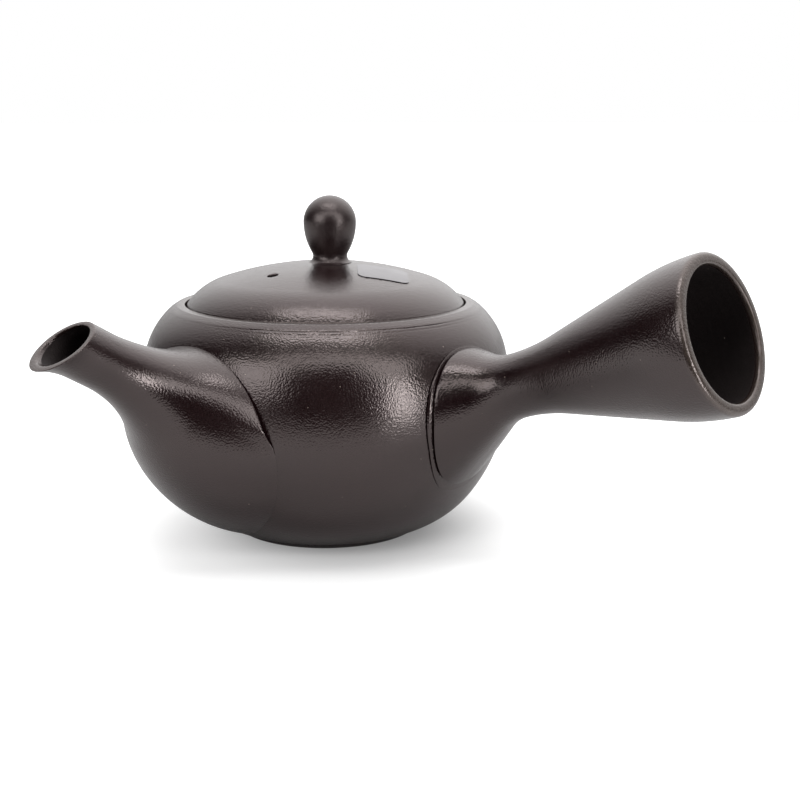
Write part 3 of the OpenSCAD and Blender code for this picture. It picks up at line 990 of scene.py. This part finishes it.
def dome_height(radius):
    """Height of the lid's dome at a distance from its axis."""
    for arc in DOME_ARCS:
        across = radius - arc.centre.x
        if abs(across) <= arc.radius:
            up = sqrt(arc.radius ** 2 - across ** 2)
            if atan2(up, across) <= arc.last + SAME_ANGLE:
                return arc.centre.y + up
    return CROWN_Z


def make_lid():
    """The domed lid, with its flange and the steam vent over the spout's side."""
    bm = bmesh.new()
    end = start_line(bm, arc_point(DOME_ARCS[0], DOME_ARCS[0].first))
    draw_arcs(bm, end, DOME_ARCS)
    inner_r = FLANGE_R - FLANGE_T
    under = inner_arcs(
        DOME_ARCS, LID_WALL, lambda c, r: (acos(min(1, (inner_r - c.x) / r)), pi / 2)
    )
    start = arc_point(under[-1], under[-1].last)
    end = draw_line(
        bm, end, (LID_R, SEAT_Z), (FLANGE_R, SEAT_Z), (FLANGE_R, FLANGE_Z), (inner_r, FLANGE_Z), start,
    )
    draw_arcs(bm, end, [Arc(a.centre, a.radius, a.last, a.first) for a in reversed(under)])
    turn(bm, BOWL_COLUMNS)
    soften(bm, ring_at(bm, LID_R, LID_EDGE_Z), LID_EDGE_SOFT)
    soften(bm, ring_at(bm, FLANGE_R, FLANGE_Z) + ring_at(bm, inner_r, FLANGE_Z), FLANGE_SOFT)
    start = Vector((VENT_AT * cos(SPOUT_TURN), VENT_AT * sin(SPOUT_TURN), CROWN_Z + LID_RISE))
    depth = LID_RISE + CROWN_Z - SEAT_Z
    ring = pierce(bm, start, Vector((0, 0, -1)), VENT_R, VENT_COLUMNS, VENT_MARGIN, depth)
    soften(bm, ring, VENT_SOFT)

    def inside(face):
        c = face.calc_center_median()
        radius = hypot(c.x, c.y)
        return c.z < dome_height(radius) - LID_WALL / 2 and radius < LID_R - INSIDE_BY

    finish_piece(
        bm, "lid_skin", "lid", ["lid"], [BURNISHED, RAW_AND_SHADE],
        None, lambda c: hypot(c.x, c.y), inside,
    )


def make_knob():
    """The pear-shaped knob, a little off the lid's centre and sunk into its crown."""
    bm = bmesh.new()
    foot = arc_point(KNOB_ARCS[0], KNOB_ARCS[0].first)
    root_z = CROWN_Z - KNOB_FILLET
    end = start_line(bm, (0, root_z))
    end = draw_line(bm, end, (foot.x, root_z), foot)
    draw_arcs(bm, end, KNOB_ARCS)
    turn(bm, KNOB_COLUMNS)
    aside = KNOB_OFF * heading(KNOB_OFF_TURN)
    bmesh.ops.translate(bm, verts=bm.verts[:], vec=(aside.x, aside.y, 0))
    finish_piece(bm, "lid_knob_skin", "lid", ["lid_knob"], [HANDLED])


def make_label():
    """A blank film with round corners, laid on the dome."""
    bm = bmesh.new()
    bmesh.ops.create_grid(bm, x_segments=1, y_segments=1, size=0.5)
    bmesh.ops.scale(bm, verts=bm.verts[:], vec=(LABEL_W, LABEL_L, 1))
    bmesh.ops.bevel(
        bm, geom=bm.verts[:], offset=LABEL_CORNER, offset_type="OFFSET", segments=LABEL_CORNER_STEPS,
        profile=0.5, affect="VERTICES", material=-1,
    )
    for axis, size in ((Vector((1, 0, 0)), LABEL_W), (Vector((0, 1, 0)), LABEL_L)):
        for cut in range(1, LABEL_CUTS):
            bmesh.ops.bisect_plane(
                bm, geom=bm.verts[:] + bm.edges[:] + bm.faces[:],
                plane_co=axis * size * (cut / LABEL_CUTS - 0.5), plane_no=axis,
            )
    middle = LABEL_AT * heading(LABEL_TURN)
    laid = Matrix.Translation((middle.x, middle.y, 0)) @ Matrix.Rotation(LABEL_SPIN, 4, "Z")
    bmesh.ops.transform(bm, matrix=laid, verts=bm.verts[:])
    for v in bm.verts:
        v.co.z = dome_height(hypot(v.co.x, v.co.y))
    bmesh.ops.recalc_face_normals(bm, faces=bm.faces[:])
    if sum(f.normal.z for f in bm.faces) < 0:
        bmesh.ops.reverse_faces(bm, faces=bm.faces[:])
    bmesh.ops.solidify(bm, geom=bm.faces[:], thickness=-LABEL_T)
    bm.normal_update()
    bmesh.ops.recalc_face_normals(bm, faces=bm.faces[:])
    finish_piece(bm, "lid_label_skin", "lid", ["lid_label"], [FILM])


def dress_strainer():
    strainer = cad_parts["spout_strainer"]
    # The strainer takes the raw clay whose dark colour paints the shade inside the spout
    strainer.data.materials.clear()
    strainer.data.materials.append(RAW_AND_SHADE)


make_bowl()
make_spout()
make_handle()
make_handle_collar()
make_lid()
make_knob()
make_label()
dress_strainer()


# Studio: a white sweep behind the pot, soft boxes to both sides, in front and above, and a dim room

CAMERA_AT = Vector((264.5, -300.0, 122.8)) * MM
CAMERA_AHEAD = Vector((-0.6068, 0.7662, -0.2115))
CAMERA_LENS = 63.5
TO_CAMERA = Vector((CAMERA_AT.x, CAMERA_AT.y, 0)).normalized()
TO_RIGHT = Vector((-TO_CAMERA.y, TO_CAMERA.x, 0))
LIGHTS_AIM = Vector((0, 0, 0.04))
# The sweep is brightest up and behind the pot, and fades to the dim room between two cosines from there
SWEEP_LEVEL = 1.95
ROOM_LEVEL = 0.005
SWEEP_FADES = (0.3, 0.95)
FLOOR_SIZE = 3
FLOOR_FRONT = 0.187
FLOOR_GREY = (0.65, 0.65, 0.65, 1)
# The floor glows a little for the camera: least under the pot, more past its shadow, and white far out.
# The shadow is measured from a point a little aside, and is narrower across than it is deep
SHADOW_ASIDE = 0.008
SHADOW_WIDTH = 0.78
SHADOW_FROM = 0.022
SHADOW_TO = 0.066
WHITE_FROM = 0.16
GLOW_UNDER = 0.18
GLOW_PAST = 0.52
GLOW_FAR = 0.4


def studio_point(right, near, up):
    """A point as the camera sees it: so far to the right, towards the camera and up."""
    return right * TO_RIGHT + near * TO_CAMERA + Vector((0, 0, up))


def make_camera():
    camera = bpy.data.objects.new("camera", bpy.data.cameras.new("camera"))
    camera.data.lens = CAMERA_LENS
    camera.data.sensor_fit = "HORIZONTAL"
    camera.data.clip_start = 0.01
    turned = CAMERA_AHEAD.to_track_quat("-Z", "Y").to_matrix().to_4x4()
    camera.matrix_world = Matrix.Translation(CAMERA_AT) @ turned
    bpy.context.scene.collection.objects.link(camera)
    bpy.context.scene.camera = camera


def make_soft_box(name, place, size, power):
    lamp = bpy.data.lights.new(name, "AREA")
    lamp.shape = "RECTANGLE"
    lamp.size, lamp.size_y = size
    lamp.energy = power
    box = bpy.data.objects.new(name, lamp)
    turned = (LIGHTS_AIM - place).to_track_quat("-Z", "Y").to_matrix().to_4x4()
    box.matrix_world = Matrix.Translation(place) @ turned
    bpy.context.scene.collection.objects.link(box)


def make_world():
    """A white sweep up and behind the pot, and a dim room elsewhere. The camera itself sees only white."""
    world = bpy.data.worlds.new("studio")
    bpy.context.scene.world = world
    world.use_nodes = True
    tree = world.node_tree
    sky = tree.nodes["Background"]
    direction = add_node(tree, "TexCoord").outputs["Generated"]
    up_and_behind = studio_point(0.19, -0.62, 0.75)
    facing = add_node(tree, "VectorMath", {0: direction, 1: up_and_behind}, operation="DOT_PRODUCT")
    room = remap(tree, facing.outputs["Value"], *SWEEP_FADES, ROOM_LEVEL, SWEEP_LEVEL)
    seen = add_node(tree, "LightPath").outputs["Is Camera Ray"]
    strength = add_node(tree, "Mix", {0: seen, 2: room, 3: 1.0})
    sky.inputs["Color"].default_value = (1, 1, 1, 1)
    tree.links.new(strength.outputs[0], sky.inputs["Strength"])


def make_floor():
    """A white floor that keeps the pot's shadow and fades into the white behind it."""
    bm = bmesh.new()
    bmesh.ops.create_grid(bm, x_segments=1, y_segments=1, size=FLOOR_SIZE)
    laid = Matrix.Rotation(atan2(TO_CAMERA.y, TO_CAMERA.x), 4, "Z")
    middle = Matrix.Translation(studio_point(0, FLOOR_FRONT - FLOOR_SIZE, 0))
    bmesh.ops.transform(bm, matrix=middle @ laid, verts=bm.verts[:])
    mesh = bpy.data.meshes.new("floor")
    bm.to_mesh(mesh)
    bm.free()
    floor = bpy.data.objects.new("floor", mesh)
    bpy.context.scene.collection.objects.link(floor)
    material = bpy.data.materials.new("white_floor")
    material.use_nodes = True
    tree = material.node_tree
    shader = tree.nodes["Principled BSDF"]
    shader.inputs["Base Color"].default_value = FLOOR_GREY
    shader.inputs["Roughness"].default_value = 0.9
    shader.inputs["Specular IOR Level"].default_value = 0.2
    shadow = {
        "Vector": add_node(tree, "TexCoord").outputs["Object"],
        "Location": studio_point(SHADOW_ASIDE, 0, 0),
        "Rotation": (0, 0, atan2(TO_RIGHT.y, TO_RIGHT.x)),
        "Scale": (SHADOW_WIDTH, 1, 1),
    }
    place = add_node(tree, "Mapping", shadow, vector_type="TEXTURE").outputs["Vector"]
    away = add_node(tree, "VectorMath", {0: place}, operation="LENGTH").outputs["Value"]
    near = remap(tree, away, SHADOW_FROM, SHADOW_TO, GLOW_UNDER, GLOW_PAST, interpolation_type="SMOOTHSTEP")
    glow = math_node(tree, "ADD", near, remap(tree, away, SHADOW_TO, WHITE_FROM, 0, GLOW_FAR))
    seen = add_node(tree, "LightPath").outputs["Is Camera Ray"]
    shader.inputs["Emission Color"].default_value = (1, 1, 1, 1)
    tree.links.new(math_node(tree, "MULTIPLY", seen, glow), shader.inputs["Emission Strength"])
    mesh.materials.append(material)
    floor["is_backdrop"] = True


make_camera()
make_world()
make_floor()
make_soft_box("left_box", studio_point(-0.66, 0.6, 0.36), (0.6, 0.5), 2.7)
make_soft_box("right_box", studio_point(0.64, 0.64, -0.02), (0.22, 0.48), 2.9)
make_soft_box("right_high_box", studio_point(0.54, 0.62, 0.42), (0.45, 0.4), 1.4)
make_soft_box("front_box", studio_point(0.0, 0.59, 0.61), (0.9, 0.24), 1.5)
make_soft_box("top_box", studio_point(-0.03, 0.165, 0.8), (0.6, 0.19), 1.6)
bpy.context.scene.view_settings.view_transform = "Standard"

boxes = {"cad": cad_box, "visual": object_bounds()}
{name: [list(corner) for corner in box] for name, box in boxes.items()}
